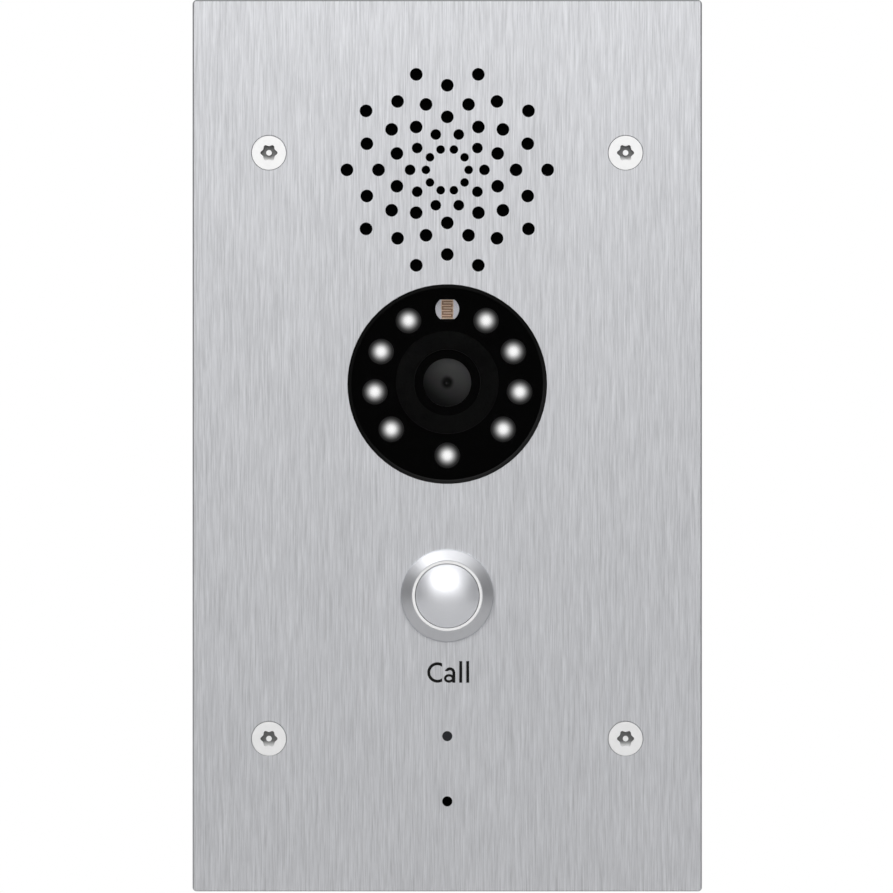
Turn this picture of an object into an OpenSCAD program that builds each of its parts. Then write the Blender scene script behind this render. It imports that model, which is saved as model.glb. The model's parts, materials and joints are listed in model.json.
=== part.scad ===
// Flush-mounted video door intercom panel.
// Every module draws in the wall frame: X to the right, Y up, Z out of the wall towards the
// visitor, with Z = 0 where the gasket meets the wall. wall_frame() stands that upright.

/* [Front plate] */
// Width of the front plate
panel_w = 100; // [92:1:130]
// Height of the front plate
panel_h = 175; // [172:1:220]
// Thickness of the front plate
plate_t = 3; // [2.5:0.25:5]
// Corner radius of the front plate
plate_corner_r = 0.8; // [0.5:0.1:4]
// Chamfer round the front edge of the plate
plate_chamfer = 0.3; // [0.1:0.1:0.4]
// Thickness of the wall gasket
gasket_t = 1.5; // [1:0.25:3]
// Width of the wall gasket's strip
gasket_w = 4; // [3:0.5:5]
// Distance from the plate's edge to the gasket
gasket_inset = 1.5; // [1:0.25:2]

/* [Fixing screws] */
// Distance from the plate's side to a screw's axis
fixing_inset_x = 15; // [13:0.5:18]
// Distance from the plate's top or bottom to a screw's axis
fixing_inset_y = 30; // [28:0.5:36]
// Thread diameter of a fixing screw
fixing_thread_d = 3.5; // [3:0.5:4]
// Diameter of a fixing screw's countersunk head
fixing_head_d = 6.7; // [6:0.1:8]
// Length of thread that stands out behind the wall face
fixing_reach = 13; // [8:1:20]
// Point-to-point size of the six-lobe socket
socket_size = 3.35; // [2.8:0.05:3.6]

/* [Speaker] */
// Distance from the plate's top edge to the hole pattern
speaker_margin = 12.4; // [11:0.1:20]
// Radius of the innermost ring of holes
first_ring_r = 4.2; // [3.5:0.1:5]
// Distance between rings
ring_step = 3.1; // [3:0.05:3.4]
// Number of rings
ring_count = 6; // [4:1:6]
// Holes in each ring
holes_per_ring = 10; // [6:1:12]
// Diameter of the smallest holes
small_hole_d = 1.7; // [1.2:0.1:2]
// Diameter of the largest holes
large_hole_d = 2.5; // [2:0.1:2.6]
// Depth of the speaker driver
driver_depth = 13.5; // [11:0.25:17]

/* [Camera] */
// Gap between the speaker holes and the camera window
window_gap = 1.6; // [1.5:0.1:4]
// Diameter of the camera window
window_d = 39; // [36:0.5:47]
// How far the window stands proud of the plate
window_proud = 0.6; // [0.2:0.1:1.5]
// Distance from the window's edge to the centres of the lamps
lamp_inset = 5.1; // [4:0.1:6]
// Diameter of a lamp
lamp_d = 5; // [3:0.5:6]
// Thread diameter of the lens barrel
lens_thread_d = 12; // [10:0.5:14.5]
// Length of the lens barrel
lens_len = 13.5; // [11:0.5:16]

/* [Call button] */
// Diameter of the button's thread
button_thread_d = 16; // [13:0.1:19.5]
// How far the bezel reaches out past the thread
bezel_lip = 1.1; // [0.9:0.1:2]
// How far the push cap's edge lies inside the thread
cap_inset = 1.8; // [1.6:0.05:2]
// Travel of the push cap
button_travel = 2.5; // [1:0.25:2.5]
// Height of the cap's dome
dome_rise = 2.5; // [1:0.25:3]

/* [Label, status light and microphone] */
// Gap between the bezel and the label
label_gap = 4; // [3:0.1:5]
// Height of the label's capital letter
label_h = 4; // [3:0.1:5]
// Gap between the label and the status light
status_gap = 9.5; // [7:0.1:12]
// Gap between the status light and the microphone hole
mic_gap = 10.8; // [8.5:0.1:13]
// Distance from the plate's bottom edge to the microphone hole's centre
mic_margin = 17.7; // [16:0.1:25]
// Diameter of the status light and of the microphone hole
pinhole_d = 2; // [1.5:0.1:2.6]

/* [Rear cover] */
// Gap between the gasket and the cover's sides
cover_gap_x = 2.5; // [1.5:0.25:3]
// Gap between the gasket and the cover's ends
cover_gap_y = 1; // [0.5:0.1:1.5]
// Wall thickness of the cover
cover_wall = 2.5; // [2:0.1:3]
// How far the cover's back stands past the network jack
jack_cover = 0.4; // [0:0.1:8]
// Radius of the slots that clear the wall box's screw bosses
boss_slot_r = 6.5; // [5:0.1:8]
// Height of the connector bay
bay_h = 47; // [44:1:52]
// Travel of the tamper plunger
tamper_travel = 3; // [1:0.5:3]

/* [Hidden] */
$fn = 64;
cut = 1;      // how far a cutting tool runs past the face it opens
fit = 0.1;    // radial gap between two parts that slip together
snug = 0.02;  // radial gap round a thread, drawn at its major diameter

// Levels along Z, from the visitor's side to the back
plate_back = gasket_t;
plate_front = plate_back + plate_t;
standoff_reach = 3;
ear_front = plate_back - standoff_reach;
ear_t = 3;
ear_back = ear_front - ear_t;

// Places on the plate: the speaker and camera from the top edge, the rest from the bottom edge
speaker_r = first_ring_r + ring_step * (ring_count - 1) + large_hole_d / 2;
window_r = window_d / 2;
bezel_r = button_thread_d / 2 + bezel_lip;
speaker_y = panel_h / 2 - speaker_margin - speaker_r;
camera_y = speaker_y - speaker_r - window_gap - window_r;
mic_y = mic_margin - panel_h / 2;
status_y = mic_y + mic_gap + pinhole_d;
label_y = status_y + pinhole_d / 2 + status_gap + label_h / 2;
button_y = label_y + label_h / 2 + label_gap + bezel_r;
fixing_x = panel_w / 2 - fixing_inset_x;
fixing_y = panel_h / 2 - fixing_inset_y;

// Fixing screws and their captive washers
thread_r = fixing_thread_d / 2;
neck_r = thread_r - 0.25;
head_r = fixing_head_d / 2;
head_gap = 0.12;
head_sink = 0.05;
socket_pin_r = 0.55;
socket_pin_sink = 0.15;
fixing_hole_r = thread_r + 0.25;
countersink_r = head_r + head_gap + head_sink;
socket_depth = head_r - socket_size / 2 - 0.2;
washer_t = 0.8;
washer_r = thread_r + 2;

// M3 screws and the standoffs they turn into
m3_r = 1.5;
m3_head_r = 2.75;
m3_head_t = 2;
standoff_r = 2.75;
cover_standoff_reach = 8;
cover_screw_len = 12;
cover_screw_bite = 5;
module_screw_len = 5.5;

// The line between the speaker's parts and the camera's parts
split_y = camera_y + window_r + window_gap + 0.1;
split_gap = 0.15;

// Call label, printed thick enough to feel
label_t = 0.08;

// Speaker
cloth_t = 0.3;
speaker_gasket_t = 0.8;
speaker_seat = plate_back - cloth_t - speaker_gasket_t;
housing_r = speaker_r + 1.4;
driver_r = speaker_r - 0.9;
housing_pocket_r = driver_r + fit;
housing_floor = speaker_seat - driver_depth - 1.5;
housing_floor_t = 1.5;
housing_back = housing_floor - housing_floor_t;
magnet_r = 11;
magnet_t = 4.5;
yoke_t = 2;
basket_t = driver_depth - magnet_t - yoke_t;
coil_r = 6;
module_ear_r = 3.5;
ear_root = 6;
speaker_ear_reach = housing_r + 3.9;
speaker_ear_angles = [45, 135, 215, 325];
wire_hole = (driver_r - 5) * [cos(240), sin(240)];
wire_hole_r = 3.2;

// Camera window, lamps and light sensor, which sit a little higher than the window, with the lens
optics_rise = 0.4;
optics_y = camera_y + optics_rise;
seal_t = 0.5;
window_hole_gap = 0.1;
window_flange_r = window_r + 1.1;
window_flange_t = 1.5;
window_bevel = 0.5;
flange_front = plate_back - seal_t;
window_back = flange_front - window_flange_t;
holder_front = window_back - 0.2;
holder_t = 5;
holder_back = holder_front - holder_t;
holder_r = window_r - 0.5;
lamp_ring_r = window_r - lamp_inset;
shield_r = lamp_ring_r - lamp_d / 2 - 1.8;
led_board_t = 1.6;
led_board_back = holder_back - led_board_t;
camera_cup_r = window_flange_r + 0.7;
camera_flange_r = camera_cup_r + 1.2;
cup_floor_t = 1.7;
cup_floor_back = led_board_back - cup_floor_t;
camera_ear_reach = camera_flange_r + 3.5;
camera_ear_angles = [20, 160, 200, 340];
lamp_angles = [0, 50.1, 82.6, 115, 147.9]; // from straight down, on both sides
sensor_w = 4.7;
sensor_h = 3.8;
sensor_t = 2;
sensor_front = holder_front - 0.3;

// Lens, sensor and camera board
lens_thread_r = lens_thread_d / 2;
lens_head_r = lens_thread_r + 0.3;
front_lens_r = lens_thread_r - 1.25;
lens_front = window_back - 1;
lens_head_back = lens_front - 3.5;
lens_back = lens_front - lens_len;
camera_board_front = lens_back - 3;
camera_board_t = 1.2;
camera_board_back = camera_board_front - camera_board_t;
camera_board_w = 30;
camera_post_at = 12.5;
camera_post_r = 2.4;
m2_r = 1;
mount_r = lens_thread_r + 1.8;
mount_front = lens_head_back - 3.4;
mount_w = 16;
sensor_chip_w = 8;
sensor_chip_t = 1;

// Call button
button_r = button_thread_d / 2;
button_hole_gap = 0.1;
bezel_rim = 0.9;
bezel_h = 2.4;
light_ring_w = 0.5;
cap_r = button_r - cap_inset;
cap_gap = 0.15;
cap_hole_r = cap_r + cap_gap;
light_ring_r = cap_hole_r + light_ring_w;
bezel_bore_r = light_ring_r + 0.03;
bezel_top = plate_front + bezel_h;
cap_edge = bezel_top;
cap_skirt = 3.1;
cap_back = cap_edge - cap_skirt;
ledge_z = cap_back - button_travel - 0.05;
bush_front = ledge_z - 2.2;
bush_t = 3;
bush_back = bush_front - bush_t;
stem_r = 2.5;
spring_pocket_r = 5;
barrel_back = bush_back - 5;
clip_t = 0.6;
clip_r = 4;
contact_t = 0.6;
contact_front = barrel_back + 1.2;
base_back = barrel_back - 5.5;
terminal_back = base_back - 4;
nut_t = 3;
nut_af = button_thread_d + 4;
terminal_at = button_r - 3;
o_ring_r = 0.3;
o_ring_at = button_r + o_ring_r + 0.08;

// Rear cover
cover_w = panel_w - 2 * (gasket_inset + gasket_w + cover_gap_x);
cover_h = panel_h - 2 * (gasket_inset + gasket_w + cover_gap_y);
cover_corner_r = 4;
cover_seal_t = 1;
cover_front = plate_back - cover_seal_t;
pillar_r = 4.5;
pillar_x = cover_w / 2 - 6;
pillar_y = cover_h / 2 - 7;
pillar_front = plate_back - cover_standoff_reach;
screw_seat = pillar_front + cover_screw_bite - cover_screw_len;
counterbore_r = m3_head_r + 0.3;

// Main board, which stays behind both the speaker and the camera
main_board_t = 1.6;
main_board_front = min(camera_board_back, housing_back - 3.1) - 2.3;
main_board_back = main_board_front - main_board_t;
jack_h = 12.5;
cover_back = main_board_back - jack_h - jack_cover;
cover_floor = cover_back + cover_wall;
board_gap = 1;
board_narrow_w = 2 * (fixing_x - boss_slot_r - cover_wall - board_gap);
board_wide_w = 2 * (pillar_x - pillar_r - 0.5);
board_wide_h = 2 * (fixing_y - boss_slot_r - cover_wall - board_gap);
board_h = cover_h - 2 * cover_wall - 5;
board_post_r = 3;
board_posts = [
    [board_narrow_w / 2 - 5, board_h / 2 - 7],
    [board_wide_w / 2 - 3.5, board_wide_h / 2 - 6],
    [board_wide_w / 2 - 3.5, -cover_h / 2 + bay_h + 8]
];
m25_r = 1.25;

// Connector bay
bay_wall = 2.5;
bay_w = 2 * (fixing_x - boss_slot_r - bay_wall - 2);
bay_top = -cover_h / 2 + bay_h;
bay_floor = main_board_back - 0.2;
bay_floor_t = 2;
jack_w = 16;
jack_len = 21;
jack_x = jack_w / 2 + 1.8 - bay_w / 2;
jack_top = bay_top - 4;
port_w = 11.8;
port_h = 8.2;
port_len = 14;
port_front = main_board_back - 1.6;
way_pitch = 3.5;
block_margin = 2.75;
ways = floor((bay_w / 2 - block_margin - jack_x - jack_w / 2 - 1) / way_pitch);
block_w = ways * way_pitch;
block_x = bay_w / 2 - block_margin - block_w / 2;
block_h = 10;
block_len = 8;
block_top = jack_top;

// Tamper switch
tamper_y = camera_y - 14;
switch_w = 6;
switch_t = 3.5;
switch_button_t = 1;
tamper_stem_r = 2.5;
tamper_flange_r = 5.6;
tamper_flange_t = 1.5;
tamper_proud = tamper_travel + 0.5;
tamper_well_r = tamper_flange_r + 0.3;
tamper_flange_back = cover_floor + 0.05;
tamper_nose = main_board_back - switch_t - switch_button_t - tamper_travel - 0.2;

// Rating label
rating_w = 46;
rating_h = 26;
rating_t = 0.25;
rating_recess = 0.4;
rating_y = speaker_y - 6;

// Internal leads: each leaves its terminal straight, bows, and comes down on its wire header
lead_r = 0.6;
header_t = 4;
header_z = main_board_front + header_t;
coil_z = speaker_seat - 2.2 - 0.52 * (basket_t - 2.2);
wire_x = wire_hole[0];
wire_y = speaker_y + wire_hole[1];
pin_z = terminal_back + 2.95;
mic_pin_z = plate_back - 8.1;
lead_routes = [
    // speaker to the upper left header
    [[wire_x - 0.9, wire_y + 0.5, coil_z], [wire_x - 0.9, wire_y + 0.5, housing_back + 3],
     [wire_x - 2, wire_y - 1.5, housing_back - 1.3], [wire_x - 6.5, wire_y - 6, housing_back - 1.9],
     [-20, speaker_y - 23, header_z + 1.7], [-22.4, speaker_y - 25.5, header_z + 1.5],
     [-22.4, speaker_y - 25.5, header_z + 0.2]],
    [[wire_x + 0.9, wire_y - 0.7, coil_z], [wire_x + 0.9, wire_y - 0.7, housing_back + 3],
     [wire_x - 0.1, wire_y - 3, housing_back - 1.3], [wire_x - 4.5, wire_y - 7.6, housing_back - 1.9],
     [-17.6, speaker_y - 24.4, header_z + 1.7], [-20, speaker_y - 25.5, header_z + 1.5],
     [-20, speaker_y - 25.5, header_z + 0.2]],
    // button to the lower right header
    [[terminal_at + 1.3, button_y, pin_z], [terminal_at + 1.3, button_y, pin_z - 2.2],
     [terminal_at + 4.5, button_y + 3, pin_z - 3.6], [16, button_y + 8.5, header_z - 0.3],
     [20.5, button_y + 12.8, header_z + 1.7], [22.4, button_y + 14.8, header_z + 1.5],
     [22.4, button_y + 14.8, header_z + 0.2]],
    [[0, button_y + terminal_at + 1.3, pin_z], [0, button_y + terminal_at + 1.3, pin_z - 2.2],
     [4, button_y + terminal_at + 4.5, pin_z - 3.6], [11, button_y + 13.5, header_z - 0.3],
     [17, button_y + 15, header_z + 1.7], [19.4, button_y + 15.2, header_z + 1.5],
     [19.4, button_y + 15.2, header_z + 0.2]],
    // microphone to the lower left header
    [[-1.3, mic_y, mic_pin_z], [-1.3, mic_y, mic_pin_z - 3], [-5, mic_y + 3, mic_pin_z - 6],
     [-12, mic_y + 8, mic_pin_z - 7], [-15.2, mic_y + 10.5, header_z + 2],
     [-15.2, mic_y + 10.5, header_z + 0.2]],
    [[1.3, mic_y, mic_pin_z], [1.3, mic_y, mic_pin_z - 3.4], [-1, mic_y + 3.5, mic_pin_z - 7],
     [-7.5, mic_y + 9.5, header_z + 2.9], [-12.4, mic_y + 10.8, header_z + 1.8],
     [-12.4, mic_y + 10.8, header_z + 0.2]]
];

// ---------------------------------------------------------------- shared shapes

module wall_frame() rotate([90, 0, 0]) children();

module slab(w, h, z0, z1) translate([-w / 2, -h / 2, z0]) cube([w, h, z1 - z0]);

module disc(r, z0, z1) translate([0, 0, z0]) cylinder(h = z1 - z0, r = r);

module ring(r_out, r_in, z0, z1) difference() {
    disc(r_out, z0, z1);
    disc(r_in, z0 - cut, z1 + cut);
}

module cone(r0, r1, z0, z1) translate([0, 0, z0]) cylinder(h = z1 - z0, r1 = r0, r2 = r1);

module polar(angle, r) rotate(angle) translate([r, 0, 0]) rotate(-angle) children();

module rounded_rect(w, h, r) union() {
    square([w - 2 * r, h], center = true);
    square([w, h - 2 * r], center = true);
    for (x = [-1, 1], y = [-1, 1]) translate([x * (w / 2 - r), y * (h / 2 - r)]) circle(r);
}

// A rounded slab whose front edge is chamfered all round
module chamfered_slab(w, h, t, r, c) union() {
    rotate([90, 0, 90]) linear_extrude(w - 2 * r, center = true) chamfered_profile(h, t, c);
    rotate([90, 0, 0]) linear_extrude(h - 2 * r, center = true) chamfered_profile(w, t, c);
    for (x = [-1, 1], y = [-1, 1]) translate([x * (w / 2 - r), y * (h / 2 - r), 0]) {
        disc(r, 0, t - c);
        cone(r, r - c, t - c, t);
    }
}

module chamfered_profile(w, t, c) polygon([
    [-w / 2, 0], [w / 2, 0], [w / 2, t - c], [w / 2 - c, t], [c - w / 2, t], [-w / 2, t - c]
]);

// A screw whose head sits at z = 0 and whose shank runs to z = -len
module pan_screw(r, head, head_t, len) difference() {
    union() {
        disc(r, -len, 0.01);
        disc(head, 0, head_t * 0.6);
        cone(head, head * 0.72, head_t * 0.6, head_t);
    }
    for (turn = [0, 90]) rotate(turn) slab(head * 1.2, head * 0.24, head_t * 0.4, head_t + cut);
}

// ---------------------------------------------------------------- swept wire

function unit(v) = v / norm(v);

function spline_point(a, b, c, d, t) =
    0.5 * (2 * b + (c - a) * t + (2 * a - 5 * b + 4 * c - d) * t * t
    + (3 * b - a - 3 * c + d) * t * t * t);

function smooth_route(p, steps) = let (last = len(p) - 1) concat(
    [for (i = [0:last - 1], s = [0:steps - 1])
        spline_point(p[max(i - 1, 0)], p[i], p[i + 1], p[min(i + 2, last)], s / steps)],
    [p[last]]
);

module swept_wire(points, r, sides, up) {
    last = len(points) - 1;
    corners = [for (i = [0:last])
        let (along = unit(points[min(i + 1, last)] - points[max(i - 1, 0)]),
             across = unit(cross(along, up)),
             over = cross(across, along))
        for (k = [0:sides - 1])
            points[i] + r * (cos(360 * k / sides) * across + sin(360 * k / sides) * over)];
    walls = [for (i = [0:last - 1], k = [0:sides - 1])
        let (a = i * sides + k, b = i * sides + (k + 1) % sides)
        each [[a, a + sides, b + sides], [a, b + sides, b]]];
    ends = [[for (k = [0:sides - 1]) k], [for (k = [sides - 1:-1:0]) last * sides + k]];
    polyhedron(corners, concat(walls, ends));
}

function helix(r, z0, z1, turns, per_turn) = [for (i = [0:turns * per_turn])
    let (a = 360 * i / per_turn, t = i / (turns * per_turn))
    [r * cos(a), r * sin(a), z0 + (z1 - z0) * t]];

module coil_spring(r, wire_r, z0, z1, turns) {
    swept_wire(helix(r, z0 + wire_r, z1 - wire_r, turns, 14), wire_r, 6, [0, 0, 1]);
}

// ---------------------------------------------------------------- places

module at_speaker() translate([0, speaker_y, 0]) children();
module at_camera() translate([0, camera_y, 0]) children();
module at_optics() translate([0, optics_y, 0]) children();
module at_button() translate([0, button_y, 0]) children();
module at_status() translate([0, status_y, 0]) children();
module at_mic() translate([0, mic_y, 0]) children();
module at_tamper() translate([0, tamper_y, 0]) children();

module at_fixings() for (x = [-1, 1], y = [-1, 1]) {
    translate([x * fixing_x, y * fixing_y, 0]) children();
}

module at_pillars() for (x = [-1, 1], y = [-1, 0, 1]) {
    translate([x * pillar_x, y * pillar_y, 0]) children();
}

module at_speaker_ears() at_speaker() for (a = speaker_ear_angles) {
    polar(a, speaker_ear_reach) children();
}

module at_camera_ears() at_camera() for (a = camera_ear_angles) {
    polar(a, camera_ear_reach) children();
}

// A lug of the speaker or camera housing, rooted in the housing's wall
module module_ear(angle, reach) rotate(angle) {
    translate([reach, 0, 0]) disc(module_ear_r, ear_back, ear_front);
    translate([reach - ear_root, -module_ear_r, ear_back]) cube([ear_root, 2 * module_ear_r, ear_t]);
}

module at_board_posts() for (p = board_posts, x = [-1, 1]) translate([x * p[0], p[1], 0]) children();

module at_camera_posts() at_optics() for (x = [-1, 1], y = [-1, 1]) {
    translate([x * camera_post_at, y * camera_post_at, 0]) children();
}

// Lamps stand in a circle on both sides of the lowest one
module at_lamps() at_optics() for (a = lamp_angles, side = a == 0 ? [1] : [-1, 1]) {
    polar(-90 + side * a, lamp_ring_r) children();
}

module at_light_sensor() at_optics() translate([0, lamp_ring_r, 0]) children();

module through_plate(r) disc(r, plate_back - cut, plate_front + cut);

// Everything of the speaker stays above the split line, and of the camera below it
module above_split() difference() {
    children();
    translate([-panel_w / 2, split_y + split_gap - panel_h, cover_back]) {
        cube([panel_w, panel_h, plate_front - cover_back]);
    }
}

module below_split(inset) difference() {
    children();
    translate([-panel_w / 2, split_y - split_gap - inset, cover_back]) {
        cube([panel_w, panel_h, plate_front - cover_back]);
    }
}

// ---------------------------------------------------------------- front plate

module speaker_holes() for (k = [0:ring_count - 1], i = [0:holes_per_ring - 1]) {
    staggered = k >= 2 && k % 2 == 0;
    hole_r = min(large_hole_d, small_hole_d + 0.4 * k) / 2;
    rotate((i + (staggered ? 0.5 : 0)) * 360 / holes_per_ring) {
        translate([first_ring_r + k * ring_step, 0, 0]) through_plate(hole_r);
    }
}

module front_plate() color("silver") wall_frame() difference() {
    translate([0, 0, plate_back]) {
        chamfered_slab(panel_w, panel_h, plate_t, plate_corner_r, plate_chamfer);
    }
    at_speaker() speaker_holes();
    at_camera() through_plate(window_r + window_hole_gap);
    at_button() through_plate(button_r + button_hole_gap);
    at_status() through_plate(pinhole_d / 2);
    at_mic() through_plate(pinhole_d / 2);
    at_fixings() {
        through_plate(fixing_hole_r);
        cone(fixing_hole_r, countersink_r + cut,
            plate_front - countersink_r + fixing_hole_r, plate_front + cut);
    }
}

module standoff(reach) ring(standoff_r, m3_r + snug, plate_back - reach, plate_back);

module plate_standoffs() color("lightsteelblue") wall_frame() {
    at_pillars() standoff(cover_standoff_reach);
    at_speaker_ears() standoff(standoff_reach);
    at_camera_ears() standoff(standoff_reach);
}

module wall_gasket() color("dimgray") wall_frame() linear_extrude(gasket_t) difference() {
    rounded_rect(panel_w - 2 * gasket_inset, panel_h - 2 * gasket_inset, 3);
    rounded_rect(panel_w - 2 * (gasket_inset + gasket_w), panel_h - 2 * (gasket_inset + gasket_w), 1);
}

// ---------------------------------------------------------------- fixing screws

module six_lobe_socket() difference() {
    lobe_r = 0.4;
    waist_r = 0.4 * socket_size;
    notch_r = 0.45;
    union() {
        circle(waist_r + 0.1);
        for (a = [0:60:300]) rotate(a) translate([socket_size / 2 - lobe_r, 0]) circle(lobe_r);
    }
    for (a = [30:60:330]) rotate(a) translate([waist_r + notch_r - 0.02, 0]) circle(notch_r);
}

module fixing_screws() color("whitesmoke") wall_frame() at_fixings() {
    head_top = plate_front - head_sink;
    difference() {
        union() {
            disc(neck_r, -0.01, head_top - 0.5);
            cone(neck_r, head_r, head_top - head_r + neck_r, head_top);
            disc(thread_r, 0.6 - fixing_reach, 0);
            cone(thread_r - 0.6, thread_r, -fixing_reach, 0.6 - fixing_reach);
        }
        translate([0, 0, head_top - socket_depth]) linear_extrude(socket_depth + cut) difference() {
            six_lobe_socket();
            circle(socket_pin_r);
        }
        disc(socket_pin_r + 0.1, head_top - socket_pin_sink, head_top + cut);
    }
}

module captive_washers() color("ivory") wall_frame() at_fixings() {
    ring(washer_r, neck_r + fit, plate_back - washer_t, plate_back);
}

// ---------------------------------------------------------------- call label

// The word is drawn in line widths of an even sans-serif hand
module call_label() color("black") wall_frame() {
    stroke = 0.14 * label_h;
    ascender = 1.06 * label_h;
    translate([0, label_y - label_h / 2, plate_front]) linear_extrude(label_t) union() {
        translate([-0.48 * label_h, label_h / 2]) letter_c(label_h / 2, stroke);
        translate([0.13 * label_h, 0]) letter_a(0.75 * label_h, stroke);
        for (x = [0.59, 0.935]) translate([x * label_h, 0]) square([stroke, ascender]);
    }
}

// A round capital C with upright ends, about its middle
module letter_c(r, stroke) difference() {
    circle(r);
    circle(r - stroke);
    translate([0.45 * r, -r]) square(2 * r);
}

// A two-storey a: an arch that runs into a stem, and a wide bowl under it, with x = 0 at the arch's middle
module letter_a(h, stroke) union() {
    arch_r = 0.35 * h;
    bowl_w = 0.335 * h;
    bowl_h = 0.28 * h;
    bowl_stroke = 0.85 * stroke;
    translate([0, h - arch_r]) difference() {
        circle(arch_r);
        circle(arch_r - stroke);
        translate([-2 * arch_r, -2 * arch_r]) square([4 * arch_r, 2 * arch_r]);
        translate([-2 * arch_r, 0]) square([2 * arch_r, 0.3 * arch_r]);
    }
    translate([arch_r - stroke, 0]) square([stroke, h - arch_r + 0.01]);
    translate([arch_r - 0.07 * h - bowl_w, bowl_h]) difference() {
        scale([bowl_w, bowl_h]) circle(1);
        scale([bowl_w - bowl_stroke, bowl_h - bowl_stroke]) circle(1);
    }
}

// ---------------------------------------------------------------- speaker

module speaker_cloth() color("black") wall_frame() above_split() at_speaker() {
    disc(housing_r - fit, plate_back - cloth_t, plate_back);
}

module speaker_gasket() color("dimgray") wall_frame() above_split() at_speaker() {
    ring(housing_r - fit, housing_pocket_r + 0.2, speaker_seat, plate_back - cloth_t);
}

module speaker_housing() color("darkslategray") wall_frame() difference() {
    union() {
        above_split() at_speaker() disc(housing_r, housing_floor - housing_floor_t, speaker_seat);
        at_speaker() for (a = speaker_ear_angles) module_ear(a, speaker_ear_reach);
    }
    at_speaker() disc(housing_pocket_r, housing_floor, speaker_seat + cut);
    at_speaker_ears() disc(m3_r + fit, ear_back - cut, ear_front + cut);
    at_speaker() translate(wire_hole) {
        disc(wire_hole_r, housing_floor - housing_floor_t - cut, housing_floor + cut);
    }
}

module speaker_frame() color("slategray") wall_frame() at_speaker() {
    basket_back = speaker_seat - basket_t;
    difference() {
        rotate_extrude() polygon([
            [driver_r, speaker_seat - 0.05], [driver_r, speaker_seat - 0.8],
            [driver_r - 1.8, speaker_seat - 0.8], [driver_r - 2, speaker_seat - 2.2],
            [driver_r - 3.6, speaker_seat - 2.2], [magnet_r + 0.5, basket_back],
            [coil_r + 1.2, basket_back], [coil_r + 1.2, basket_back + 0.8],
            [magnet_r, basket_back + 0.8], [driver_r - 3.9, speaker_seat - 1.6],
            [driver_r - 2.6, speaker_seat - 1.6], [driver_r - 2.6, speaker_seat - 0.05]
        ]);
        for (a = [0:60:300]) rotate(a + 30) translate([magnet_r + 3.5, 0, 0]) {
            disc(1.8, basket_back - cut, speaker_seat - 2);
        }
    }
}

module speaker_diaphragm() color("gray") wall_frame() at_speaker() {
    rim_r = driver_r - 2.8;
    rim_z = speaker_seat - 1.2;
    apex_z = speaker_seat - basket_t + 1.2;
    cone_t = 0.35;
    rotate_extrude() polygon([
        [rim_r, rim_z], [rim_r, rim_z - cone_t], [rim_r - 2, rim_z - cone_t],
        [coil_r, apex_z], [coil_r - 0.4, apex_z], [coil_r - 0.4, apex_z + cone_t],
        [rim_r - 1.9, rim_z]
    ]);
    dome_gap = 0.1;
    rotate_extrude() polygon([
        [0, apex_z + 2.6], [0, apex_z + 2.2], [coil_r - 2, apex_z + 1.6],
        [coil_r - 0.4 - dome_gap, apex_z + cone_t], [coil_r - dome_gap, apex_z + cone_t + 0.5],
        [coil_r - 2, apex_z + 2]
    ]);
}

module speaker_magnet() color("dimgray") wall_frame() at_speaker() {
    basket_back = speaker_seat - basket_t;
    ring(magnet_r, coil_r + 0.8, basket_back - magnet_t, basket_back - 0.05);
}

module speaker_yoke() color("lightgray") wall_frame() at_speaker() {
    magnet_back = speaker_seat - basket_t - magnet_t;
    disc(magnet_r - 0.5, magnet_back - yoke_t, magnet_back - 0.02);
    disc(coil_r - 1.4, magnet_back - 0.05, magnet_back + magnet_t);
}

// ---------------------------------------------------------------- camera window and lamps

module camera_window() color("black", 0.6) wall_frame() union() {
    at_camera() disc(window_r, window_back, plate_front + window_proud - window_bevel);
    at_camera() cone(window_r, window_r - window_bevel,
        plate_front + window_proud - window_bevel, plate_front + window_proud);
    below_split(0.8) at_camera() disc(window_flange_r, window_back, flange_front);
}

module window_seal() color("dimgray") wall_frame() below_split(0.8) at_camera() {
    ring(window_flange_r, window_r + 0.15, flange_front, plate_back);
}

module camera_housing() color("darkslategray") wall_frame() difference() {
    union() {
        below_split(0) at_camera() {
            disc(camera_flange_r, ear_front, plate_back - 0.05);
            disc(camera_cup_r, cup_floor_back, ear_front + 0.01);
        }
        at_camera() for (a = camera_ear_angles) module_ear(a, camera_ear_reach);
        at_camera_posts() disc(camera_post_r, camera_board_front, cup_floor_back + 0.5);
    }
    below_split(0.6) at_camera() disc(window_flange_r + fit, window_back, plate_back + cut);
    at_optics() disc(holder_r + fit, led_board_back, window_back + 0.1);
    at_optics() disc(mount_r + 1.5, cup_floor_back - cut, led_board_back + cut);
    at_camera_ears() disc(m3_r + fit, ear_back - cut, ear_front + cut);
    at_camera_posts() disc(m2_r + snug, camera_board_front - cut, camera_board_front + 5);
}

module led_holder() color("black") wall_frame() difference() {
    at_optics() ring(holder_r, shield_r + fit, holder_back, holder_front);
    at_lamps() {
        disc(lamp_d / 2 + fit, holder_back - cut, holder_front + cut);
        disc(lamp_d / 2 + 0.5, holder_back - cut, holder_back + 1.2);
    }
    at_light_sensor() disc(sensor_w / 2 + 0.12, holder_back - cut, holder_front + cut);
}

module illumination_leds() color("white") wall_frame() at_lamps() {
    dome_z = holder_front - 0.2 - lamp_d / 2;
    disc(lamp_d / 2 + 0.4, holder_back, holder_back + 1);
    disc(lamp_d / 2, holder_back + 0.99, dome_z);
    intersection() {
        translate([0, 0, dome_z]) sphere(lamp_d / 2);
        disc(lamp_d, dome_z - 0.01, dome_z + lamp_d);
    }
}

module led_board() color("darkgreen") wall_frame() at_optics() {
    ring(holder_r, mount_r + 1.2, led_board_back + 0.02, holder_back);
}

module sensor_body() intersection() {
    circle(sensor_w / 2);
    square([sensor_w + cut, sensor_h], center = true);
}

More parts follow.
